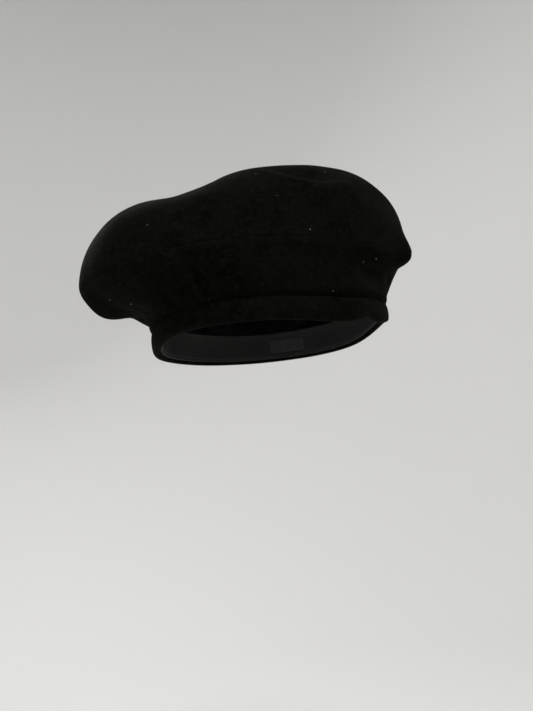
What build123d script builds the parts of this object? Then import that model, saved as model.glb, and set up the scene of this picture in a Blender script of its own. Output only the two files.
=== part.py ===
"""A soft felt beret, shaped as it sits on a head and pulled to the wearer's right.

Millimetres. The origin is the centre of the head opening, in the plane that the hem lies in. +Z points up into
the crown, -Y to the front of the hat, and +X to the wearer's left. The felt shell is a round top panel and a
ring-shaped underside that meet at the rim, and a folded headband. Inside are a satin lining in two panels, a
stiffening tape in the fold of the headband, a ribbon sweatband and the seams that hold it all together.
"""

import os
from typing import NamedTuple

from build123d import *

# ---- Driving dimensions ----
BAND_HALF_WIDTH = 82.0  # outside of the headband, side to side
BAND_HALF_DEPTH = 100.0  # outside of the headband, front to back
BAND_HEIGHT = 15.0
FELT = 2.2  # shell panels
BAND_FELT = 2.0  # the strip that is folded into the headband, once pressed
TAPE = 1.2  # stiffening tape inside the fold
TAPE_HEIGHT = 12.0
HEM_ROUND = 0.8  # outside radius of the pressed fold
LINING = 0.6
LINING_GAP = 2.0  # free space between shell and lining
RIBBON = 0.9
RIBBON_BOTTOM = 2.5  # the ribbon is set back from the hem
RIBBON_HEIGHT = 22.0
RIBBON_SEAM_UP = 2.5  # from the ribbon's lower edge to its row of stitches
LABEL = 0.4
LABEL_WIDTH = 30.0
LABEL_BOTTOM = 7.5
LABEL_HEIGHT = 11.0
THREAD = 0.6  # width and height of a row of stitches
SLACK = 0.2  # air between stitches and what they lie against

# Worked out from the above: how far each layer of the headband is inside its outer face.
TAPE_INSET = BAND_FELT
BAND_FACING_INSET = TAPE_INSET + TAPE
BAND_INSIDE = BAND_FACING_INSET + BAND_FELT
RIBBON_INSIDE = BAND_INSIDE + RIBBON
LINING_INSET = FELT + LINING_GAP


class Ring(NamedTuple):
    """One elliptical cross-section of the shell's outer face.

    out and up are the outward normal there, as shares in the ring's plane and along the ring's own axis.
    """

    centre: tuple
    half_width: float
    half_depth: float
    roll: float  # degrees about Y, positive lowers the +X side
    pitch: float  # degrees about X, positive raises the back
    out: float
    up: float


# The crown hangs out to -X and to the back, and its top leans the same way.
SEAM = Ring((0, 0, BAND_HEIGHT), BAND_HALF_WIDTH, BAND_HALF_DEPTH, 0, 0, 1, 0)
FLARE = Ring((-9, 7, 30), 98, 111, 0, 0, 0.6, -0.8)
RIM = Ring((-17, 16, 49), 118, 122, 1, 1, 1, 0)
SHOULDER = Ring((-12, 14, 80), 113, 110, 1, 2, 0.9, 0.4)
CREST = Ring((-2, 12, 109), 87, 84, 2, 6, 0.5, 0.85)
UPPER = Ring((3, 12, 125), 50, 46, -1, 6, 0.2, 1)
SUMMIT = Ring((4, 12, 130), 14, 13, 0, 3, 0, 1)

SIDE_RINGS = (SEAM, FLARE, RIM)
TOP_RINGS = (RIM, SHOULDER, CREST, UPPER, SUMMIT)


def ring_sketch(ring, inset):
    """The ellipse of a ring, moved inwards from the outer face by inset."""
    tilted = Plane(origin=ring.centre).rotated((ring.pitch, ring.roll, 0))
    with BuildSketch(tilted.offset(-ring.up * inset)) as outline:
        Ellipse(ring.half_width - ring.out * inset, ring.half_depth - ring.out * inset)
    return outline.sketch


def ring_sketches(rings, inset):
    return [ring_sketch(ring, inset) for ring in rings]


def shell(rings, outer_inset, thickness):
    """Adds the wall between two lofts through the same rings to the part in hand."""
    loft(sections=ring_sketches(rings, outer_inset))
    loft(sections=ring_sketches(rings, outer_inset + thickness), mode=Mode.SUBTRACT)


def band_sketch(outer_inset, height, inner_inset):
    """The space between two ovals that follow the headband, at a height."""
    with BuildSketch(Plane.XY.offset(height)) as outline:
        Ellipse(BAND_HALF_WIDTH - outer_inset, BAND_HALF_DEPTH - outer_inset)
        Ellipse(BAND_HALF_WIDTH - inner_inset, BAND_HALF_DEPTH - inner_inset, mode=Mode.SUBTRACT)
    return outline.sketch


def stitch_row(plane, half_width, half_depth):
    """Adds a row of stitches along an oval line, as one flat ring of thread, to the part in hand."""
    with BuildSketch(plane.offset(-THREAD / 2)) as outline:
        Ellipse(half_width + THREAD / 2, half_depth + THREAD / 2)
        Ellipse(half_width - THREAD / 2, half_depth - THREAD / 2, mode=Mode.SUBTRACT)
    extrude(outline.sketch, amount=THREAD)


# ---- Felt shell ----
with BuildPart() as crown_top:
    shell(TOP_RINGS, 0, FELT)
crown_top.part.label = "crown_top"

with BuildPart() as crown_underside:
    shell(SIDE_RINGS, 0, FELT)
crown_underside.part.label = "crown_underside"

# ---- Headband: a strip folded up inside itself round a stiffening tape ----
with BuildPart() as headband:
    extrude(band_sketch(0, 0, BAND_INSIDE), amount=BAND_HEIGHT)
    extrude(band_sketch(TAPE_INSET, BAND_FELT, BAND_FACING_INSET), amount=BAND_HEIGHT, mode=Mode.SUBTRACT)
    fillet(headband.edges().group_by(Axis.Z)[0], HEM_ROUND)
headband.part.label = "headband"

with BuildPart() as headband_tape:
    extrude(band_sketch(TAPE_INSET, BAND_FELT, BAND_FACING_INSET), amount=TAPE_HEIGHT)
headband_tape.part.label = "headband_tape"

# ---- Lining ----
with BuildPart() as lining_top:
    shell(TOP_RINGS, LINING_INSET, LINING)
lining_top.part.label = "lining_top"

with BuildPart() as lining_side:
    shell(SIDE_RINGS, LINING_INSET, LINING)
lining_side.part.label = "lining_side"

# ---- Sweatband and its label ----
with BuildPart() as sweatband:
    extrude(band_sketch(BAND_INSIDE, RIBBON_BOTTOM, RIBBON_INSIDE), amount=RIBBON_HEIGHT)
sweatband.part.label = "sweatband"

with BuildPart() as size_label:
    extrude(band_sketch(RIBBON_INSIDE, LABEL_BOTTOM, RIBBON_INSIDE + LABEL), amount=LABEL_HEIGHT)
    with Locations((0, BAND_HALF_DEPTH, LABEL_BOTTOM + LABEL_HEIGHT / 2)):
        Box(LABEL_WIDTH, BAND_HALF_DEPTH, LABEL_HEIGHT, mode=Mode.INTERSECT)
size_label.part.label = "size_label"

# ---- Seams ----
# The rim's stitches lie just above the rim, where the wall beside them is nearly upright.
RIM_PLANE = Plane(origin=RIM.centre).rotated((RIM.pitch, RIM.roll, 0)).offset(THREAD / 2)
RIM_STITCH_INSET = FELT + THREAD / 2 + SLACK
with BuildPart() as rim_seam_stitches:
    stitch_row(RIM_PLANE, RIM.half_width - RIM_STITCH_INSET, RIM.half_depth - RIM_STITCH_INSET)
rim_seam_stitches.part.label = "rim_seam_stitches"

LINING_STITCH_INSET = LINING_INSET - THREAD / 2 - SLACK
with BuildPart() as lining_seam_stitches:
    stitch_row(RIM_PLANE, RIM.half_width - LINING_STITCH_INSET, RIM.half_depth - LINING_STITCH_INSET)
lining_seam_stitches.part.label = "lining_seam_stitches"

BAND_STITCH_INSET = TAPE_INSET + TAPE / 2
with BuildPart() as band_seam_stitches:
    stitch_row(
        Plane.XY.offset(BAND_HEIGHT - THREAD / 2 - SLACK),
        BAND_HALF_WIDTH - BAND_STITCH_INSET,
        BAND_HALF_DEPTH - BAND_STITCH_INSET,
    )
band_seam_stitches.part.label = "band_seam_stitches"

SWEATBAND_STITCH_INSET = RIBBON_INSIDE + THREAD / 2 + SLACK
with BuildPart() as sweatband_stitches:
    stitch_row(
        Plane.XY.offset(RIBBON_BOTTOM + RIBBON_SEAM_UP),
        BAND_HALF_WIDTH - SWEATBAND_STITCH_INSET,
        BAND_HALF_DEPTH - SWEATBAND_STITCH_INSET,
    )
sweatband_stitches.part.label = "sweatband_stitches"

PIECES = (
    crown_top,
    crown_underside,
    headband,
    headband_tape,
    lining_top,
    lining_side,
    sweatband,
    size_label,
    rim_seam_stitches,
    lining_seam_stitches,
    band_seam_stitches,
    sweatband_stitches,
)

os.makedirs("parts", exist_ok=True)
for piece in PIECES:
    export_step(piece.part, f"parts/{piece.part.label}.step")
    print(piece.part.label, "volume", round(piece.part.volume), piece.part.bounding_box())
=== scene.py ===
"""The looks of the felt beret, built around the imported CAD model. Metres, in the frame of the CAD model.

+Z points up into the crown, -Y to the front of the hat, +X to the wearer's left. Azimuths are degrees round
the crown from the front, positive to the wearer's left. Elevations are degrees up from the crown's middle.
"""

import math
from typing import NamedTuple

import bmesh
import bpy
import numpy as np
from mathutils import Matrix, Vector, noise
from mathutils.bvhtree import BVHTree
from mathutils.kdtree import KDTree


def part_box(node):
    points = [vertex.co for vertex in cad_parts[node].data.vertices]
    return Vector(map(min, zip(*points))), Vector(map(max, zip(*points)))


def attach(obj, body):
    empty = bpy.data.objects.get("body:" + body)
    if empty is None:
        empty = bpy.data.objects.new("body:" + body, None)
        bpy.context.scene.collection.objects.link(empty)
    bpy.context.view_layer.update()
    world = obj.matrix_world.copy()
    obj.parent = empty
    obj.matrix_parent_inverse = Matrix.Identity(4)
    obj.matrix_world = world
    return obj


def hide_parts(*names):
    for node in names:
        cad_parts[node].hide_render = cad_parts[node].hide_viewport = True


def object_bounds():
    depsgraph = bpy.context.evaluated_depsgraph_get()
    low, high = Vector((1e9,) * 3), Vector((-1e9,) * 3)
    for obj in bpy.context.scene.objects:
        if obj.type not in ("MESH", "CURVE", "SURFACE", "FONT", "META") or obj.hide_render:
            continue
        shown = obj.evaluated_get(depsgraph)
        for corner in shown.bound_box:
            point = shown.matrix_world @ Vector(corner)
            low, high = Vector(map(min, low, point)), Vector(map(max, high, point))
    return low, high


MM = 0.001
UP = np.array((0.0, 0.0, 1.0))

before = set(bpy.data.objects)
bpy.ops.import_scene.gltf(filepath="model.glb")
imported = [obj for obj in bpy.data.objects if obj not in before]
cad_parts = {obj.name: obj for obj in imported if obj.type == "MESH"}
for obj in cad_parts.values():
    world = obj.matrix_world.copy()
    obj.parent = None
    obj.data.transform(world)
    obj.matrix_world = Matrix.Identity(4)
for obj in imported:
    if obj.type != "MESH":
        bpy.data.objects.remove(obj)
cad_low, cad_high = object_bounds()

# ---- What the frame says ----
BAND_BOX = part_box("headband")
RIBBON_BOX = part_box("sweatband")
LABEL_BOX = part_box("size_label")
TAPE_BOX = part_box("headband_tape")
RIM_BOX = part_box("rim_seam_stitches")

BAND_X, BAND_Y, BAND_TOP = BAND_BOX[1]
BAND_INSIDE = BAND_X - RIBBON_BOX[1].x  # from the headband's outer face to its inner one
BAND_FELT = BAND_X - TAPE_BOX[1].x
RIM_MIDDLE = (RIM_BOX[0] + RIM_BOX[1]) / 2
BAND_MIDDLE = Vector((0, 0, BAND_TOP))
CROWN_MIDDLE = (RIM_MIDDLE + BAND_MIDDLE) / 2

# ---- Cloth ----
FELT = 2.2 * MM
LINING = 0.5 * MM
LINING_GAP = 2.4 * MM  # between the felt and the lining


# ---- Meshes ----
def mesh_object(name, points, faces):
    """A new smooth-shaded object from an array of points and a list of faces."""
    mesh = bpy.data.meshes.new(name)
    mesh.from_pydata([tuple(p) for p in points], [], [tuple(f) for f in faces])
    work = bmesh.new()
    work.from_mesh(mesh)
    bmesh.ops.recalc_face_normals(work, faces=work.faces)
    work.to_mesh(mesh)
    work.free()
    mesh.polygons.foreach_set("use_smooth", [True] * len(mesh.polygons))
    thing = bpy.data.objects.new(name, mesh)
    bpy.context.scene.collection.objects.link(thing)
    return thing


def set_values(thing, name, values):
    """Stores one number for each vertex, for a material to read."""
    attribute = thing.data.attributes.new(name, "FLOAT", "POINT")
    attribute.data.foreach_set("value", np.asarray(values, np.float32))


def normals_of(points, faces):
    """Unit vertex normals of a mesh of quads."""
    a, b, c, d = (points[faces[:, k]] for k in range(4))
    across = np.cross(c - a, d - b)
    total = np.zeros_like(points)
    for k in range(4):
        np.add.at(total, faces[:, k], across)
    return total / np.maximum(np.linalg.norm(total, axis=1, keepdims=True), 1e-12)


def smoothed(points, faces, rounds, pinned=()):
    """The points after rounds of averaging with their neighbours, all but the pinned ones."""
    pairs = np.unique(
        np.sort(np.concatenate([faces[:, [k, (k + 1) % 4]] for k in range(4)]), axis=1), axis=0
    )
    count = np.bincount(pairs.ravel(), minlength=len(points))[:, None]
    share = np.full((len(points), 1), 0.5)
    share[list(pinned)] = 0
    for _ in range(rounds):
        total = np.zeros_like(points)
        np.add.at(total, pairs[:, 0], points[pairs[:, 1]])
        np.add.at(total, pairs[:, 1], points[pairs[:, 0]])
        points = points + share * (total / np.maximum(count, 1) - points)
    return points


def noise_at(points, size, seed):
    """Smooth noise from about -1 to 1 at each point, with features of the given size in metres."""
    shift = Vector((seed * 17.3, seed * 5.1, seed * 11.7))
    return np.array([noise.noise(Vector(p) / size + shift) for p in points])


def nearest_on(line, points):
    """(how far each point is from the nearest of a line's closely spaced points, which one that is)."""
    tree = KDTree(len(line))
    for i, p in enumerate(line):
        tree.insert(p, i)
    tree.balance()
    found = [tree.find(p) for p in points]
    return np.array([f[2] for f in found]), np.array([f[1] for f in found])


def bell(distance, width):
    return np.exp(-0.5 * (distance / width) ** 2)


# ---- The crown's outer face: the CAD shell's, on an even grid ----
def shell_tree(*nodes):
    points, faces = [], []
    for name in nodes:
        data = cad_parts[name].data
        start = len(points)
        points += [v.co.copy() for v in data.vertices]
        faces += [[start + i for i in p.vertices] for p in data.polygons]
    return BVHTree.FromPolygons(points, faces)


def direction(azimuth, elevation):
    """Unit vector for an azimuth and an elevation in radians."""
    level = math.cos(elevation)
    return Vector((math.sin(azimuth) * level, -math.cos(azimuth) * level, math.sin(elevation)))


FAR = 0.5


def hit(tree, azimuth, elevation):
    """(distance from the crown's middle, point) where the outer face is in that direction, or (0, None)."""
    way = direction(azimuth, elevation)
    point, _, _, depth = tree.ray_cast(CROWN_MIDDLE + way * FAR, -way, FAR)
    return (FAR - depth, point) if point else (0.0, None)


TOP_TREE = shell_tree("crown_top")
UNDER_TREE = shell_tree("crown_underside")
CROWN_TREE = shell_tree("crown_top", "crown_underside")
HAT_TREE = shell_tree("crown_top", "crown_underside", "headband")


def rim_elevation(azimuth):
    """The elevation at which the top panel meets the underside."""
    low, high = math.radians(-12), math.radians(30)
    for _ in range(16):
        middle = (low + high) / 2
        if hit(UNDER_TREE, azimuth, middle)[0] > hit(TOP_TREE, azimuth, middle)[0]:
            low = middle
        else:
            high = middle
    return (low + high) / 2


def band_edge(azimuth):
    """The point of the headband's upper outer edge at an azimuth about the crown's middle."""
    way = direction(azimuth, 0)
    ox, oy = CROWN_MIDDLE.x / BAND_X, CROWN_MIDDLE.y / BAND_Y
    dx, dy = way.x / BAND_X, way.y / BAND_Y
    a, b, c = dx * dx + dy * dy, ox * dx + oy * dy, ox * ox + oy * oy - 1
    reach = (-b + math.sqrt(b * b - a * c)) / a
    return Vector((CROWN_MIDDLE.x + way.x * reach, CROWN_MIDDLE.y + way.y * reach, BAND_TOP))


def elevation_of(point):
    away = point - CROWN_MIDDLE
    return math.atan2(away.z, math.hypot(away.x, away.y))


def disc_grid(squares):
    """Points of a square grid bent into a unit disc, and the ring of its outer points in order."""
    steps = np.linspace(-1, 1, squares + 1)
    s, t = np.meshgrid(steps, steps, indexing="ij")
    x, y = s * np.sqrt(1 - t * t / 2), t * np.sqrt(1 - s * s / 2)
    side, across = np.arange(squares), squares + 1
    ring = np.concatenate(
        [side * across, squares * across + side, (squares - side) * across + squares, squares - side]
    )
    return x.ravel(), y.ravel(), ring


class Crown:
    """The felt shell's outer face as one mesh: the underside's rows from the headband up, then the top."""

    def __init__(self, squares, rows):
        x, y, ring = disc_grid(squares)
        azimuths, share = np.arctan2(x, -y), np.hypot(x, y)
        around = azimuths[ring]
        self.columns = len(ring)
        rim_up = np.array([rim_elevation(a) for a in around])
        edge = [band_edge(a) for a in around]

        points = list(edge)
        for row in range(1, rows):
            even = row / rows
            v = 0.25 * even + 0.75 * (0.5 - 0.5 * math.cos(math.pi * even))  # closer rows at both seams
            for k, azimuth in enumerate(around):
                low = elevation_of(edge[k])
                points.append(hit(CROWN_TREE, azimuth, low + (rim_up[k] - low) * max(v, 0.01))[1])
        self.edge = np.arange(self.columns)
        self.rim = self.edge + len(points)
        points += [hit(CROWN_TREE, azimuth, up)[1] for azimuth, up in zip(around, rim_up)]

        index = np.full(len(x), -1)
        index[ring] = self.rim
        order = np.argsort(around)
        for i in np.flatnonzero(index < 0):
            start = np.interp(azimuths[i], around[order], rim_up[order], period=2 * math.pi)
            up = start + (math.pi / 2 - start) * (1 - share[i]) ** 1.3
            index[i] = len(points)
            points.append(hit(CROWN_TREE, azimuths[i], up)[1])
        self.points = np.array([tuple(p) for p in points])

        k, following = self.edge, (self.edge + 1) % self.columns
        start = np.arange(rows)[:, None] * self.columns
        above = start + self.columns
        under = np.stack([start + k, start + following, above + following, above + k], axis=-1).reshape(-1, 4)
        i, j = (g.ravel() for g in np.meshgrid(np.arange(squares), np.arange(squares), indexing="ij"))
        corner, across = i * (squares + 1) + j, squares + 1
        top = index[np.stack([corner, corner + across, corner + across + 1, corner + 1], axis=-1)]
        self.under_faces, self.top_faces = self.turned_out(under), self.turned_out(top)
        self.faces = np.concatenate([self.under_faces, self.top_faces])

    def turned_out(self, faces):
        """A panel's faces, which all go round the same way, turned over together if they face inward."""
        a, b, c, d = (self.points[faces[:, i]] for i in range(4))
        outward = ((a - np.array(CROWN_MIDDLE)) * np.cross(c - a, d - b)).sum()
        return faces if outward > 0 else faces[:, ::-1]

    def normals(self):
        return normals_of(self.points, self.faces)


# ---- Sculpting: what the wearing and the pulling to one side have done to the felt ----
class Dab(NamedTuple):
    """A soft push at a place on the crown, in millimetres: out along the surface, or up."""

    azimuth: float
    elevation: float
    reach: float
    out: float = 0.0
    up: float = 0.0


class Fold(NamedTuple):
    """A ridge along (azimuth, elevation, strength) stops, or a valley where out is negative. Millimetres."""

    stops: tuple
    width: float
    out: float


DABS = (
    Dab(-31, 50, 20, out=-6),  # the dip between the lobe and the top
    Dab(-14, 38, 18, out=-3),
    Dab(-48, 24, 24, out=4.4),  # the lobe's full upper side
    Dab(-68, 28, 22, out=1.2),
    Dab(-67, 2, 13, out=5, up=-0.8),  # the lobe's low corner
    Dab(-40, -11, 13, up=3.5),  # the hollow between the headband and the lobe
    Dab(-97, 5, 20, up=7),  # the lobe's rear, held up by the felt behind it
    Dab(50, 60, 20, out=-1),  # the top, a little flattened
    Dab(72, 38, 18, out=1.2),  # the top's right shoulder
    Dab(73, 8, 10, out=5.5, up=0.5),  # the pinched corner
    Dab(84, -5, 12, out=-2.5),  # the wall under it
    Dab(89, 6, 11, out=-2.5),
    Dab(106, 9, 17, out=-5),  # the rim behind the corner
)
CREST = ((8, 47, 0.3), (15, 40, 0.8), (26, 27, 1), (34, 24, 1), (43, 27, 1), (56, 33, 0.6), (66, 38, 0))
STAND_UP = ((-44, -9, 0.2), (-53, -9, 0.8), (-62, -8, 1.1), (-74, -7, 1.1), (-88, -7, 1), (-112, -7, 0.2))
FOLDS = (
    # the crest along the front of the top, and the dish behind it
    Fold(CREST, width=5, out=2),
    Fold(((20, 45, 0.3), (28, 36, 1), (37, 33, 1), (47, 36, 0.8), (56, 42, 0.2)), width=7, out=-3.5),
    # the ridge that runs out to the pinched corner, and the crease under it
    Fold(((75, 7, 1), (64, 5, 0.9), (55, 4, 0.6), (46, 6, 0.2), (38, 8, 0)), width=4.5, out=2.2),
    Fold(((80, 0, 0.6), (72, 0, 0.9), (62, -1, 1), (52, 0, 0.9), (43, 1, 0.2)), width=5, out=-5),
    # a soft diagonal fold in the underside, and a light roll on the lobe
    Fold(((46, -3, 0), (41, -6, 1), (36, -9, 0.6)), width=3.5, out=1.3),
    Fold(((-36, 8, 0), (-27, 5, 1), (-16, 3, 0.8), (-6, 3, 0)), width=6, out=1.2),
    # soft folds in the top where it slumps to the back and to both sides
    Fold(((128, 72, 0), (143, 58, 0.8), (154, 44, 1), (163, 30, 0.6), (169, 17, 0)), width=9, out=-2.8),
    Fold(((150, 66, 0), (166, 50, 0.8), (178, 36, 1), (186, 22, 0.5), (191, 10, 0)), width=8, out=2),
    Fold(((-168, 62, 0), (-150, 47, 0.9), (-136, 33, 1), (-124, 20, 0.4), (-116, 10, 0)), width=10, out=-3),
    Fold(((-110, 58, 0), (-104, 44, 0.8), (-98, 30, 1), (-92, 16, 0.3)), width=9, out=-2.2),
    Fold(((96, 56, 0), (106, 42, 0.9), (114, 28, 1), (119, 15, 0.3)), width=8, out=-2.2),
    # where the felt stands up from the headband before it hangs out into the lobe
    Fold(STAND_UP, width=11, out=-12),
)
EASED = (112, 131, 150, 168, -174, -157, -141, -126)  # where the fullness is eased into the band at the back
FOLDS += tuple(
    Fold(((turn - 1, -9, 1), (turn + 2, -3, 0.8), (turn + 4, 4, 0)), width=3.4 + 0.8 * (turn % 3), out=-1.7)
    for turn in EASED
)
HELD = 7 * MM  # how far from the band seam the sculpting reaches its full depth


def place(azimuth, elevation):
    """The point of the hat's outside in the direction of an azimuth and an elevation in degrees."""
    return np.array(hit(HAT_TREE, math.radians(azimuth), math.radians(elevation))[1])


def fold_line(fold):
    """(closely spaced points along a fold, the strength at each)."""
    stops = np.array(fold.stops, float)
    along = np.linspace(0, len(stops) - 1, 10 * len(stops))
    azimuths, elevations, strengths = (np.interp(along, np.arange(len(stops)), c) for c in stops.T)
    return [place(a, e) for a, e in zip(azimuths, elevations)], strengths


def sculpt(points, normals, edge_line):
    """The crown's outer points after the dabs, the folds and slight unevenness, held at the band seam."""
    moved = np.zeros_like(points)
    for dab in DABS:
        distance = np.linalg.norm(points - place(dab.azimuth, dab.elevation), axis=1)
        weight = bell(distance, dab.reach * MM)[:, None]
        moved += weight * (dab.out * normals + dab.up * UP) * MM
    for fold in FOLDS:
        line, strengths = fold_line(fold)
        distance, nearest = nearest_on(line, points)
        height = fold.out * MM * strengths[nearest] * bell(distance, fold.width * MM)
        moved += height[:, None] * normals
    uneven = 1.2 * MM * noise_at(points, 52 * MM, 1) + 0.5 * MM * noise_at(points, 19 * MM, 2)
    moved += uneven[:, None] * normals
    held = np.clip(nearest_on(edge_line, points)[0] / HELD, 0, 1)
    return points + moved * (held * held * (3 - 2 * held))[:, None]


ROUNDING = 120  # rounds of smoothing that turn the CAD shell's sharp rim into a soft one
NEAR_RIM = 18 * MM


def softened(normals, faces, rounds):
    """Unit normals averaged with their neighbours."""
    mixed = smoothed(normals, faces, rounds)
    return mixed / np.linalg.norm(mixed, axis=1, keepdims=True)


def shaped_crown(squares, rows):
    """The crown with its rim rounded over, and sculpted."""
    shaped = Crown(squares, rows)
    normals = shaped.normals()
    move = smoothed(shaped.points, shaped.faces, ROUNDING, shaped.edge) - shaped.points
    outward_move = (move * normals).sum(1, keepdims=True) * normals
    # Near the crease the whole move is kept, because moves along its normals alone would cross.
    near_rim = bell(nearest_on(shaped.points[shaped.rim], shaped.points)[0], NEAR_RIM)[:, None]
    shaped.points = shaped.points + near_rim * move + (1 - near_rim) * outward_move
    normals = softened(shaped.normals(), shaped.faces, 12)
    shaped.points = sculpt(shaped.points, normals, shaped.points[shaped.edge])
    shaped.points = smoothed(shaped.points, shaped.faces, 2, shaped.edge)
    return shaped


crown = shaped_crown(squares=168, rows=46)


# ---- The worn headband's bend ----
def azimuths_of(points):
    """Degrees round the headband from the front."""
    return np.degrees(np.arctan2(points[:, 0], -points[:, 1]))


def hem_lift(azimuths):
    """How far the hem is moved up at azimuths in degrees."""
    raised = 3.0 * bell(azimuths + 14, 19) + 2.0 * bell(azimuths + 35, 14)  # pushed up over one eye
    dropped = -1.2 * bell(azimuths - 32, 10)
    kinked = 2.8 * bell(azimuths - 51, 5)
    behind_ear = 8.5 * bell(azimuths - 104, 21)
    return (raised + dropped + kinked + behind_ear) * MM


def seam_lift(azimuths):
    """How far the band seam is moved up at azimuths in degrees."""
    raised = 1.2 * bell(azimuths + 14, 18)
    dropped = -2.0 * bell(azimuths - 30, 17)
    behind_ear = 3.6 * bell(azimuths - 104, 24)
    return (raised + dropped + behind_ear) * MM


def bent(points):
    """Points of the headband and of what is sewn to it, moved as the worn band is pushed about."""
    azimuths = azimuths_of(points)
    height = np.clip(points[:, 2] / BAND_TOP, 0, 1)
    lift = (1 - height) * hem_lift(azimuths) + height * seam_lift(azimuths)
    spread = 1 + 0.012 * noise_at(points * (1, 1, 0), 42 * MM, 7) * (1 - height)
    moved = points * np.stack([spread, spread, np.ones_like(spread)], axis=1)
    return moved + lift[:, None] * UP


# ---- Felt crown: two panels, turned in at both seams ----
def closed_panel(name, outer, inner, faces):
    """A closed sheet between an outer and an inner surface over the same faces."""
    used, faces = np.unique(faces, return_inverse=True)
    faces = faces.reshape(-1, 4)
    edges = {(a, b) for f in faces.tolist() for a, b in zip(f, f[1:] + f[:1])}
    under = len(used)
    sides = [(b, a, a + under, b + under) for a, b in edges if (b, a) not in edges]
    points = np.concatenate([outer[used], inner[used]])
    panel = mesh_object(name, points, faces.tolist() + (faces[:, ::-1] + under).tolist() + sides)
    smooth = np.arange(len(panel.data.polygons)) < 2 * len(faces)  # the cut edge doesn't shade into the face
    panel.data.polygons.foreach_set("use_smooth", smooth)
    return panel, used


def level_inward(points):
    """Unit vectors towards the inside of the headband, level."""
    inward = -points * (1 / BAND_X**2, 1 / BAND_Y**2, 0)
    return inward / np.linalg.norm(inward, axis=1, keepdims=True)


def turned_in(points, normals, to_band, to_rim):
    """The felt's outer face with its edges turned in at the band seam and at the rim seam."""
    pucker = 1 + 0.3 * noise_at(points, 8 * MM, 5)
    tuck = (1.7 * bell(to_band, 1.1 * MM) - 0.6 * bell(to_band - 4.2 * MM, 2.2 * MM)) * MM
    groove = (0.04 * bell(to_rim - 2.6 * MM, 1.3 * MM) - 0.14 * bell(to_rim, 0.6 * MM)) * MM
    return points + tuck[:, None] * level_inward(points) + (groove * pucker)[:, None] * normals


def with_seam_lift(points, to_band):
    """The crown's points, following the band seam where the headband is pushed up or down."""
    fading = bell(to_band, 14 * MM)
    return points + (fading * seam_lift(azimuths_of(points)))[:, None] * UP


to_band = nearest_on(crown.points[crown.edge], crown.points)[0]
crown.points = with_seam_lift(crown.points, to_band)
to_rim = nearest_on(crown.points[crown.rim], crown.points)[0]
crown_normals = crown.normals()
crown_outer = turned_in(crown.points, crown_normals, to_band, to_rim)
soft_normals = softened(crown_normals, crown.faces, 12)
crown_inner = crown.points - FELT * soft_normals

felt_top, top_used = closed_panel("crown_felt_top", crown_outer, crown_inner, crown.top_faces)
felt_side, side_used = closed_panel("crown_felt_underside", crown_outer, crown_inner, crown.under_faces)
for panel, used in ((felt_top, top_used), (felt_side, side_used)):
    worn = bell(to_rim[used] - 1.8 * MM, 1.6 * MM)
    set_values(panel, "worn", np.concatenate([worn, np.zeros(len(used))]))


# ---- What goes round the headband ----
def around_band(turns, insets, heights):
    """Points inside the headband's outer face, for turns in radians from +X, insets and heights."""
    return np.stack([(BAND_X - insets) * np.cos(turns), (BAND_Y - insets) * np.sin(turns), heights], axis=-1)


def band_ring(name, turns, insets, heights):
    """A closed profile, with its insets and heights at each turn, swept round the headband."""
    columns, rows = insets.shape
    points = around_band(turns[:, None], insets, heights).reshape(-1, 3)
    column, row = np.meshgrid(np.arange(columns), np.arange(rows), indexing="ij")
    after, below = (column + 1) % columns, (row + 1) % rows
    corners = [column * rows + row, column * rows + below, after * rows + below, after * rows + row]
    return mesh_object(name, bent(points), np.stack(corners, axis=-1).reshape(-1, 4).tolist())


BACK = math.pi / 2  # the turn at the middle of the back
JOINT_REACH = 0.06  # radians each side of the joint at the back that have closer turns


def turns_with_joint(columns):
    """Even turns round the headband, with closer ones near the joint at the back."""
    even = np.linspace(0, 2 * math.pi, columns, endpoint=False)
    close = np.linspace(BACK - JOINT_REACH, BACK + JOINT_REACH, 25)
    return np.sort(np.concatenate([even[np.abs(even - BACK) > JOINT_REACH], close]))


def past_joint(turns):
    """Distance along the headband from its joint at the back, in metres."""
    return (turns - BACK) * BAND_X


# The headband's own sizes in millimetres.
TOP = BAND_TOP / MM
LAYER = BAND_FELT / MM
FACING = (BAND_INSIDE - BAND_FELT) / MM  # inset of the inner layer's hidden face
INNER = BAND_INSIDE / MM


def headband_profile():
    """(insets, heights) round the felt strip, which is folded up inside itself with a pocket for the tape."""
    outside = [(1.7, TOP - 0.1), (0.95, TOP - 0.4), (0.35, TOP - 1.1), (0.05, TOP - 2.2), (-0.3, TOP - 4.5)]
    outside += [(-0.45, TOP / 2), (-0.3, 4.6), (-0.1, 3.4)]
    middle = INNER / 2
    turns = np.linspace(0, math.pi, 11)
    fold = [(middle - middle * math.cos(a), middle - middle * math.sin(a)) for a in turns]
    inside = [(INNER, TOP / 2), (INNER, TOP - 1.4), (INNER - 0.3, TOP - 0.4), (INNER - 1, TOP)]
    pocket = [(FACING + 0.3, TOP - 0.2), (FACING, TOP - 1.2), (FACING, 2.9), (FACING - 0.3, 2.2)]
    pocket += [(LAYER + 0.3, 2.2), (LAYER, 2.9), (LAYER, TOP - 3.5), (LAYER + 0.3, TOP - 1.5)]
    pocket += [(LAYER + 0.8, TOP - 0.4)]
    return np.array(outside + fold + inside + pocket).T * MM


def make_headband():
    turns = turns_with_joint(600)
    insets, heights = headband_profile()
    joint = past_joint(turns)[:, None]
    groove = 0.9 * bell(joint, 0.5 * MM) - 0.35 * bell(np.abs(joint) - 1.9 * MM, 0.9 * MM)
    outside = np.clip(1 - insets / BAND_FELT, 0, 1)
    band = band_ring("headband_felt", turns, insets + groove * outside * MM, heights + 0 * joint)
    foot = bell(np.maximum(heights - 1.5 * MM, 0), 1.5 * MM) * (insets < BAND_INSIDE * 0.8)
    set_values(band, "worn", np.tile(foot, len(turns)))
    return band


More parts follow.
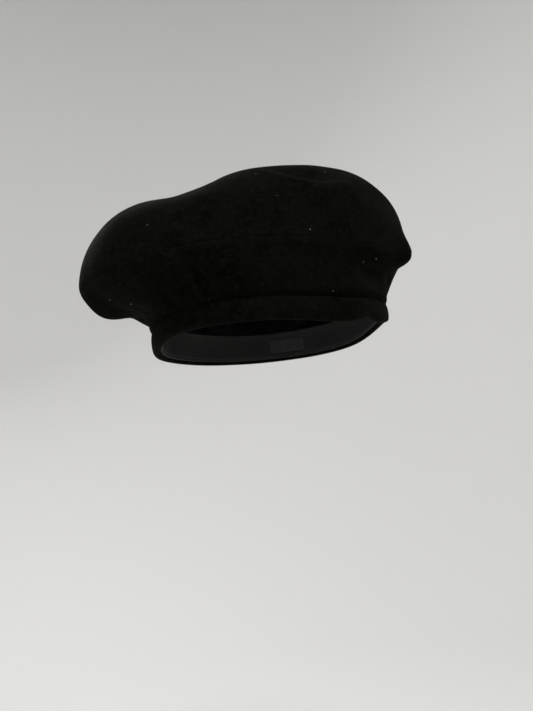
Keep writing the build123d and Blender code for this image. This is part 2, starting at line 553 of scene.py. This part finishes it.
def make_tape():
    """The woven stiffening tape in the headband's fold, butted at the back."""
    turns = turns_with_joint(400)
    low, high = TAPE_BOX[0].z + 0.3 * MM, TAPE_BOX[1].z
    outer, inner = BAND_FELT + 0.1 * MM, BAND_INSIDE - BAND_FELT - 0.1 * MM
    corner = 0.25 * MM
    profile = [(outer, high - corner), (outer, low + corner), (outer + corner, low), (inner - corner, low)]
    profile += [(inner, low + corner), (inner, high - corner), (inner - corner, high), (outer + corner, high)]
    insets, heights = np.array(profile).T
    return band_ring("stiffening_tape", turns, insets + 0 * turns[:, None], heights + 0 * turns[:, None])


RIBS = 540
RIBBON = 0.9 * MM
RIBBON_LOW, RIBBON_HIGH = RIBBON_BOX[0].z, RIBBON_BOX[1].z


def ribbon_lean(heights):
    """How far the ribbon's free upper edge stands in from the headband."""
    free = np.clip((heights - BAND_TOP + 2 * MM) / (RIBBON_HIGH - BAND_TOP + 2 * MM), 0, 1)
    return 2.2 * MM * free**2


def make_ribbon():
    """The grosgrain sweatband: upright ribs, a firm edge above and below, and a folded lap at the back."""
    turns = np.linspace(0, 2 * math.pi, RIBS * 4, endpoint=False)
    rows = np.array([0, 0.35, 1, 1.6, 4, 8, 12, 16, 18.5, 20.4, 21.1, 21.65, 22]) * MM + RIBBON_LOW
    edge = np.minimum(rows - RIBBON_LOW, RIBBON_HIGH - rows)
    rounding = np.clip(1 - edge / (0.5 * MM), 0, 1) ** 2 * RIBBON * 0.35
    rib = 0.13 * MM * np.cos(RIBS * turns)[:, None] * np.clip(edge / (1.2 * MM), 0.25, 1)
    lap = 0.4 * MM * np.clip(2.5 - np.abs(past_joint(turns)) / (3 * MM), 0, 1)[:, None]
    sway = 0.5 * MM * np.sin(5 * turns + 1)[:, None] * ribbon_lean(rows) / (2 * MM)
    middle = ribbon_lean(rows) + sway
    facing = BAND_INSIDE + middle + rounding + 0.1 * MM - rib * 0.5
    showing = BAND_INSIDE + RIBBON + middle - rounding + rib + lap
    insets = np.concatenate([facing[:, ::-1], showing], axis=1)
    heights = np.concatenate([rows[::-1], rows]) + 0 * turns[:, None]
    return band_ring("sweatband_ribbon", turns, insets, heights)


def make_label():
    """A blank folded label, a little proud of the ribbon between its stitched ends."""
    (low_x, _, low), (high_x, _, high) = LABEL_BOX
    inset = BAND_INSIDE + RIBBON + 0.3 * MM
    columns, rows = 49, 15
    across, up = np.linspace(-1, 1, columns), np.linspace(-1, 1, rows)
    s, t = (g.ravel() for g in np.meshgrid(across, up, indexing="ij"))
    turns = BACK - np.arcsin(s * (high_x - low_x) / 2 / (BAND_X - inset))
    heights = (low + high) / 2 + t * (high - low) / 2
    puff = 0.35 * MM * (1 - s**4) + 0.1 * MM * t**2 + 0.12 * MM * np.sin(9 * s + 2) * (1 - s**2)
    back = around_band(turns, inset + puff - 0.1 * MM, heights)
    front = around_band(turns, inset + puff + 0.3 * MM, heights)
    i, j = (g.ravel() for g in np.meshgrid(np.arange(columns - 1), np.arange(rows - 1), indexing="ij"))
    corner = i * rows + j
    faces = np.stack([corner, corner + 1, corner + rows + 1, corner + rows], axis=1)
    return closed_panel("blank_label", bent(back), bent(front), faces)[0]


# ---- Rows of stitches ----
SIDES = 6  # of a stitch's cross-section


def stitch_shape(length, radius):
    """(shares along, up and across) of one stitch's points, and its faces."""
    along = np.array([-0.5, -0.46, -0.3, 0, 0.3, 0.46, 0.5]) * length
    swell = np.array([0.15, 0.7, 0.95, 1, 0.95, 0.7, 0.15]) * radius
    turn = np.arange(SIDES) * 2 * math.pi / SIDES
    sunk = -1.1 * radius * (2 * along / length) ** 2
    up = sunk[:, None] + swell[:, None] * np.cos(turn)
    side = swell[:, None] * np.sin(turn)
    points = np.stack([along[:, None] + 0 * up, up, side], axis=-1).reshape(-1, 3)
    rings = np.arange(len(along) - 1)[:, None] * SIDES
    k = np.arange(SIDES)
    after = (k + 1) % SIDES
    walls = np.stack([rings + k, rings + after, rings + SIDES + after, rings + SIDES + k], axis=-1)
    ends = [list(range(SIDES))[::-1], list(range(len(points) - SIDES, len(points)))]
    return points, walls.reshape(-1, 4).tolist() + ends


STITCH = 2.4 * MM
STITCH_GAP = 0.8 * MM
THREAD_RADIUS = 0.24 * MM


def stitches(name, line, outward):
    """A row of separate stitches along a closed line of points on the cloth, with the cloth's normals."""
    following = np.concatenate([line, line[:1]])
    facing = np.concatenate([outward, outward[:1]])
    run = np.concatenate([[0], np.cumsum(np.linalg.norm(np.diff(following, axis=0), axis=1))])
    count = round(run[-1] / (STITCH + STITCH_GAP))
    at = (np.arange(count) + 0.5) * run[-1] / count

    def sampled(values, where):
        return np.stack([np.interp(where, run, column) for column in values.T], axis=1)

    middle, up = sampled(following, at), sampled(facing, at)
    along = sampled(following, at + STITCH / 2) - sampled(following, at - STITCH / 2)
    along /= np.linalg.norm(along, axis=1, keepdims=True)
    side = np.cross(along, up)
    side /= np.linalg.norm(side, axis=1, keepdims=True)
    up = np.cross(side, along)
    shape, shape_faces = stitch_shape(STITCH, THREAD_RADIUS)
    turned = sum(shape[None, :, k, None] * axis[:, None] for k, axis in enumerate((along, up, side)))
    points = middle[:, None] + turned
    faces = [[i * len(shape) + c for c in f] for i in range(count) for f in shape_faces]
    return mesh_object(name, points.reshape(-1, 3), faces)


def band_stitches(name, inset, height, inward):
    """A row of stitches round the headband, on its inward or its outward side."""
    turns = np.linspace(0, 2 * math.pi, 800, endpoint=False)
    line = bent(around_band(turns, inset + 0 * turns, height + 0 * turns))
    return stitches(name, line, level_inward(line) * (1 if inward else -1))


# ---- Lining ----
def make_lining():
    """(top panel, side panel) of the satin lining, which hangs a little loose in small gathers."""
    loose = shaped_crown(squares=96, rows=26)
    to_edge, nearest = nearest_on(loose.points[loose.edge], loose.points)
    loose.points = with_seam_lift(loose.points, to_edge)
    normals = softened(loose.normals(), loose.faces, 6)
    points = smoothed(loose.points - (FELT + LINING_GAP) * normals, loose.faces, 6)
    azimuths = np.radians(azimuths_of(points))
    around = np.stack([np.cos(azimuths), np.sin(azimuths), to_edge / 0.4], axis=1)
    gathers = noise_at(around, 0.085, 3) + 0.5 * noise_at(around, 0.04, 4)
    depth = (0.3 + 1.5 * bell(to_edge - 12 * MM, 12 * MM) + 0.9 * bell(to_edge - 50 * MM, 30 * MM)) * MM
    points = points - (depth * (0.8 + gathers))[:, None] * normals
    edge = loose.points[loose.edge]
    inset = 1 - (BAND_INSIDE - 0.8 * MM) / np.hypot(edge[:, 0], edge[:, 1])
    wanted = edge * np.stack([inset, inset, np.ones_like(inset)], axis=1) + 0.3 * MM * UP
    pull = (wanted - points[loose.edge])[nearest]
    points = points + bell(to_edge, 4 * MM)[:, None] * pull
    normals = normals_of(points, loose.faces)
    to_seam = nearest_on(points[loose.rim], points)[0]
    points = points + (0.5 * MM * bell(to_seam, 1.0 * MM))[:, None] * normals
    back = points + LINING * normals
    top = closed_panel("lining_satin_top", back, points, loose.top_faces)[0]
    side = closed_panel("lining_satin_side", back, points, loose.under_faces)[0]
    return top, side, points[loose.rim], normals[loose.rim]


headband = make_headband()
tape = make_tape()
ribbon = make_ribbon()
label = make_label()
lining_top, lining_side, lining_rim, lining_rim_normals = make_lining()

rim_line = crown.points[crown.rim]
rim_normals = soft_normals[crown.rim]
rim_thread = stitches("rim_thread", rim_line - (FELT + 0.3 * MM) * rim_normals, -rim_normals)
lining_thread = stitches("lining_thread", lining_rim + 0.6 * MM * lining_rim_normals, lining_rim_normals)
band_thread = band_stitches("band_thread", BAND_INSIDE / 2, BAND_TOP - 0.2 * MM, inward=False)
ribbon_face = BAND_INSIDE + RIBBON + 0.12 * MM
ribbon_thread = band_stitches("sweatband_thread", ribbon_face, RIBBON_LOW + 2.5 * MM, inward=True)


# ---- Materials ----
class Look:
    """A node material in the making, with its last bump and its object coordinates at hand."""

    def __init__(self, name, **surface):
        self.material = bpy.data.materials.new(name)
        self.material.use_nodes = True
        self.nodes, self.links = self.material.node_tree.nodes, self.material.node_tree.links
        self.shader = self.nodes["Principled BSDF"]
        self.place = self.nodes.new("ShaderNodeTexCoord").outputs["Object"]
        for socket, value in surface.items():
            self.set(self.shader, socket.replace("_", " ").title().replace("Ior", "IOR"), value)

    def set(self, node, socket, value):
        if isinstance(value, bpy.types.NodeSocket):
            self.links.new(value, node.inputs[socket])
        else:
            node.inputs[socket].default_value = value

    def node(self, kind, output, inputs, **settings):
        """The output of a new node, with its inputs set or linked."""
        node = self.nodes.new("ShaderNode" + kind)
        for name, value in settings.items():
            setattr(node, name, value)
        for socket, value in inputs.items():
            self.set(node, socket, value)
        return node.outputs[output]

    def noise(self, size, detail=2.0, distortion=0.0, kind="FBM"):
        """Noise from 0 to 1 with features of a size in metres."""
        inputs = {"Vector": self.place, "Scale": 1 / size, "Detail": detail, "Distortion": distortion}
        return self.node("TexNoise", "Fac", inputs, noise_type=kind)

    def math(self, operation, first, second=0.0):
        return self.node("Math", "Value", {0: first, 1: second}, operation=operation)

    def between(self, value, low, high, low_result=0.0, high_result=1.0):
        """The value's place between low and high, as a number between the two results."""
        inputs = {"Value": value, "From Min": low, "From Max": high}
        inputs |= {"To Min": low_result, "To Max": high_result}
        return self.node("MapRange", "Result", inputs, interpolation_type="SMOOTHSTEP")

    def mixed(self, share, first, second):
        inputs = {0: share, 6: first, 7: second}
        return self.node("Mix", 2, inputs, data_type="RGBA")

    def bumped(self, height, depth, strength=1.0):
        """Adds a bump of a depth in metres over the bumps so far."""
        inputs = {"Height": height, "Distance": depth, "Strength": strength}
        before = self.shader.inputs["Normal"].links
        if before:
            inputs["Normal"] = before[0].from_socket
        self.set(self.shader, "Normal", self.node("Bump", "Normal", inputs))

    def round_and_up(self):
        """(metres round the headband, metres up) at each point."""
        parts = self.nodes.new("ShaderNodeSeparateXYZ")
        self.links.new(self.place, parts.inputs[0])
        angle = self.math("ARCTAN2", parts.outputs["X"], parts.outputs["Y"])
        return self.math("MULTIPLY", angle, (BAND_X + BAND_Y) / 2), parts.outputs["Z"]

    def stripes(self, distance, pitch):
        """A wave from 0 to 1 with a pitch in metres."""
        wave = self.math("SINE", self.math("MULTIPLY", distance, 2 * math.pi / pitch))
        return self.between(wave, -1, 1)


def grey(level, warmth=0.0):
    return (level * (1 + warmth), level, level * (1 - warmth), 1)


def felt_black(level):
    """A black dye's slightly green grey."""
    return (level, level * 1.12, level * 0.85, 1)


def felt_look(name, level):
    """Brushed wool felt: matted fibres, a mottled nap, and a little lint."""
    look = Look(name, sheen_weight=0.01, sheen_roughness=0.4, specular_ior_level=0.01)
    look.set(look.shader, "Sheen Tint", (0.96, 1.0, 0.9, 1))
    fibres = look.noise(0.38 * MM, 4)
    strands = look.noise(1.5 * MM, 3, distortion=1.6, kind="RIDGED_MULTIFRACTAL")
    clumps = look.noise(2.4 * MM, 3, distortion=0.5)
    nap = look.noise(17 * MM, 3, distortion=0.8)
    drift = look.noise(62 * MM, 1)
    worn = look.node("Attribute", "Fac", {}, attribute_name="worn")

    shade = look.mixed(look.between(nap, 0.35, 0.65), felt_black(level * 0.5), felt_black(level * 1.7))
    shade = look.mixed(look.between(drift, 0.35, 0.65, 0, 0.4), shade, felt_black(level * 1.8))
    shade = look.mixed(look.between(clumps, 0.46, 0.72, 0, 0.75), shade, felt_black(level * 3.2))
    shade = look.mixed(look.between(strands, 0.55, 0.95, 0, 0.5), shade, felt_black(level * 4.5))
    shade = look.mixed(look.between(fibres, 0.58, 0.8, 0, 0.5), shade, felt_black(level * 4))
    shade = look.mixed(look.math("MULTIPLY", worn, 0.15), shade, felt_black(level * 4))

    speck = look.nodes.new("ShaderNodeTexVoronoi")
    look.set(speck, "Vector", look.place)
    look.set(speck, "Scale", 1 / (4 * MM))
    rough_edge = look.between(look.noise(0.9 * MM, 2), 0.35, 0.65, 0.03, 0.13)
    near = look.math("LESS_THAN", speck.outputs["Distance"], rough_edge)
    chance = look.node("SeparateColor", 0, {0: speck.outputs["Color"]})
    lint = look.math("MULTIPLY", near, look.math("GREATER_THAN", chance, 0.95))
    shade = look.mixed(look.math("MULTIPLY", lint, 0.8), shade, (0.42, 0.4, 0.37, 1))

    look.set(look.shader, "Base Color", shade)
    look.set(look.shader, "Roughness", look.between(nap, 0.3, 0.7, 0.9, 1.0))
    look.bumped(nap, 1.0 * MM, 0.5)
    look.bumped(clumps, 0.6 * MM, 0.8)
    look.bumped(strands, 0.16 * MM, 0.8)
    look.bumped(fibres, 0.12 * MM, 0.9)
    return look.material


def satin_look():
    """Lining satin: a close twill line whose lighter colour is a painted highlight, long floats that shine,
    and slubs.
    """
    look = Look("lining_satin", specular_ior_level=0.45, sheen_weight=0.05, anisotropic=0.4)
    slanted = look.node("VectorRotate", 0, {"Vector": look.place, "Angle": 0.9}, rotation_type="Z_AXIS")
    parts = look.nodes.new("ShaderNodeSeparateXYZ")
    look.links.new(slanted, parts.inputs[0])
    twill = look.stripes(look.math("ADD", parts.outputs["X"], parts.outputs["Z"]), 0.42 * MM)
    slubs = look.noise(3.0 * MM, 3, distortion=1.2)
    drift = look.noise(30 * MM, 2)
    shade = look.mixed(look.between(slubs, 0.3, 0.7), (0.007, 0.007, 0.008, 1), (0.014, 0.014, 0.016, 1))
    # painted highlight: the twill lines are painted lighter, standing in for the shine of the satin floats
    shade = look.mixed(look.math("MULTIPLY", twill, 0.35), shade, (0.026, 0.026, 0.029, 1))
    look.set(look.shader, "Base Color", shade)
    look.set(look.shader, "Roughness", look.between(drift, 0.3, 0.7, 0.34, 0.48))
    look.bumped(slubs, 0.12 * MM, 0.6)
    look.bumped(twill, 0.05 * MM, 0.7)
    return look.material


def grosgrain_look():
    """Ribbon: fine warp threads that cross the ribs."""
    look = Look("grosgrain", specular_ior_level=0.2, sheen_weight=0.04, sheen_roughness=0.4)
    up = look.round_and_up()[1]
    warp = look.stripes(up, 0.32 * MM)
    fuzz = look.noise(0.5 * MM, 3)
    drift = look.noise(12 * MM, 2)
    shade = look.mixed(look.between(drift, 0.3, 0.7), grey(0.007, 0.02), grey(0.012, 0.02))
    shade = look.mixed(look.math("MULTIPLY", warp, 0.4), shade, grey(0.02, 0.02))
    look.set(look.shader, "Base Color", shade)
    look.set(look.shader, "Roughness", look.between(fuzz, 0.3, 0.7, 0.5, 0.7))
    look.bumped(warp, 0.06 * MM, 0.8)
    look.bumped(fuzz, 0.05 * MM, 0.6)
    return look.material


def woven_look(name, dark, light, pitch, tint=0.0):
    """Plain-woven tape: threads over and under each other."""
    look = Look(name, specular_ior_level=0.2, sheen_weight=0.1)
    along, up = look.round_and_up()
    over = look.stripes(along, pitch)
    under = look.stripes(up, pitch * 0.8)
    weave = look.math("ABSOLUTE", look.math("SUBTRACT", over, under))
    fuzz = look.noise(0.4 * MM, 3)
    uneven = look.noise(6 * MM, 2)
    shade = look.mixed(weave, grey(dark, tint), grey(light, tint))
    shade = look.mixed(look.between(uneven, 0.3, 0.7, 0, 0.3), shade, grey(dark * 0.8, tint))
    look.set(look.shader, "Base Color", shade)
    look.set(look.shader, "Roughness", look.between(fuzz, 0.3, 0.7, 0.7, 0.9))
    look.bumped(weave, 0.1 * MM, 0.9)
    look.bumped(fuzz, 0.04 * MM, 0.6)
    return look.material


def thread_look():
    """Spun polyester thread: a fine twist with a slight shine."""
    look = Look("sewing_thread", specular_ior_level=0.4, sheen_weight=0.1)
    twist = look.noise(0.18 * MM, 2, distortion=1.5)
    shade = look.mixed(twist, grey(0.012), grey(0.045))
    look.set(look.shader, "Base Color", shade)
    look.set(look.shader, "Roughness", look.between(twist, 0.3, 0.7, 0.4, 0.6))
    look.bumped(twist, 0.06 * MM, 0.8)
    return look.material


shell_felt = felt_look("shell_felt", 0.0015)
band_felt = felt_look("band_felt", 0.0016)
lining_satin = satin_look()
grosgrain = grosgrain_look()
tape_weave = woven_look("stiffening_tape", 0.25, 0.42, 0.9 * MM, 0.08)
label_weave = woven_look("label_tape", 0.02, 0.045, 0.5 * MM)
thread = thread_look()

PIECES = (
    (felt_top, "crown_top", "shell_felt", shell_felt),
    (felt_side, "crown_underside", "shell_felt", shell_felt),
    (headband, "headband", "band_felt", band_felt),
    (tape, "headband_tape", "stiffening_tape", tape_weave),
    (lining_top, "lining_top", "lining_satin", lining_satin),
    (lining_side, "lining_side", "lining_satin", lining_satin),
    (ribbon, "sweatband", "grosgrain_ribbon", grosgrain),
    (label, "size_label", "label_tape", label_weave),
    (rim_thread, "rim_seam_stitches", "sewing_thread", thread),
    (lining_thread, "lining_seam_stitches", "sewing_thread", thread),
    (band_thread, "band_seam_stitches", "sewing_thread", thread),
    (ribbon_thread, "sweatband_stitches", "sewing_thread", thread),
)
for piece, node, slot, look in PIECES:
    piece.data.materials.append(look)
    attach(piece, "root")
    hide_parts(node)


# ---- Stage ----
def make_bowl():
    """A seamless pale floor that curves up into a round wall."""
    floor, flat, wall, height = -0.5, 0.75, 1.5, 1.6
    bend = wall - flat
    turns = np.linspace(0, math.pi / 2, 25)
    arc = [(flat + bend * math.sin(a), floor + bend - bend * math.cos(a)) for a in turns]
    profile = [(0.25, floor), (0.5, floor), *arc, (wall, height)]
    around = 96
    points = [(0, 0, floor)]
    for reach, z in profile:
        for k in range(around):
            turn = 2 * math.pi * k / around
            points.append((reach * math.cos(turn), reach * math.sin(turn), z))
    faces = [(0, 1 + k, 1 + (k + 1) % around) for k in range(around)]
    for ring in range(len(profile) - 1):
        start = 1 + ring * around
        for k in range(around):
            after = (k + 1) % around
            faces.append((start + k, start + around + k, start + around + after, start + after))
    bowl = mesh_object("pale_floor", points, faces)
    look = Look("pale_paper", roughness=0.85, specular_ior_level=0.2)
    look.set(look.shader, "Base Color", (0.72, 0.715, 0.7, 1))
    bowl.data.materials.append(look.material)


def softbox(name, place, aim, size, watts):
    data = bpy.data.lights.new(name, "AREA")
    data.shape = "DISK"
    data.size = size
    data.energy = watts
    lamp = bpy.data.objects.new(name, data)
    bpy.context.scene.collection.objects.link(lamp)
    lamp.location = place
    lamp.rotation_euler = (aim - place).to_track_quat("-Z", "Y").to_euler()


make_bowl()
HAT_MIDDLE = (cad_low + cad_high) / 2
softbox("over", HAT_MIDDLE + Vector((0.35, -0.55, 1.15)), HAT_MIDDLE, 0.5, 14)
softbox("behind", HAT_MIDDLE + Vector((-0.8, 0.75, 0.7)), HAT_MIDDLE, 0.4, 8)
softbox("front", HAT_MIDDLE + Vector((-0.4, -1.1, 0.15)), HAT_MIDDLE, 0.8, 2)

world = bpy.data.worlds.new("studio")
world.use_nodes = True
world.node_tree.nodes["Background"].inputs["Color"].default_value = (0.95, 0.97, 1.0, 1)
world.node_tree.nodes["Background"].inputs["Strength"].default_value = 0.36
bpy.context.scene.world = world
bpy.context.scene.view_settings.view_transform = "Standard"

# ---- Camera: a little below the hem, slightly to the wearer's left, and tilted ----
CAMERA_AZIMUTH, CAMERA_RISE, CAMERA_ROLL = (math.radians(d) for d in (8.2, -7.0, -6.7))
CAMERA_DISTANCE = 0.398
CAMERA_AIM = Vector((-5.7, 0, -5.3)) * MM


def make_camera():
    data = bpy.data.cameras.new("camera")
    data.sensor_fit = "VERTICAL"
    data.sensor_height = 36
    data.lens = 28.25
    data.clip_start = 0.01
    camera = bpy.data.objects.new("camera", data)
    bpy.context.scene.collection.objects.link(camera)
    back = direction(CAMERA_AZIMUTH, CAMERA_RISE)
    level = Vector((math.cos(CAMERA_AZIMUTH), math.sin(CAMERA_AZIMUTH), 0))
    upright = back.cross(level)
    right = math.cos(CAMERA_ROLL) * level + math.sin(CAMERA_ROLL) * upright
    up = math.cos(CAMERA_ROLL) * upright - math.sin(CAMERA_ROLL) * level
    turn = Matrix((right, up, back)).transposed()
    camera.matrix_world = Matrix.Translation(CAMERA_AIM + back * CAMERA_DISTANCE) @ turn.to_4x4()
    bpy.context.scene.camera = camera


make_camera()
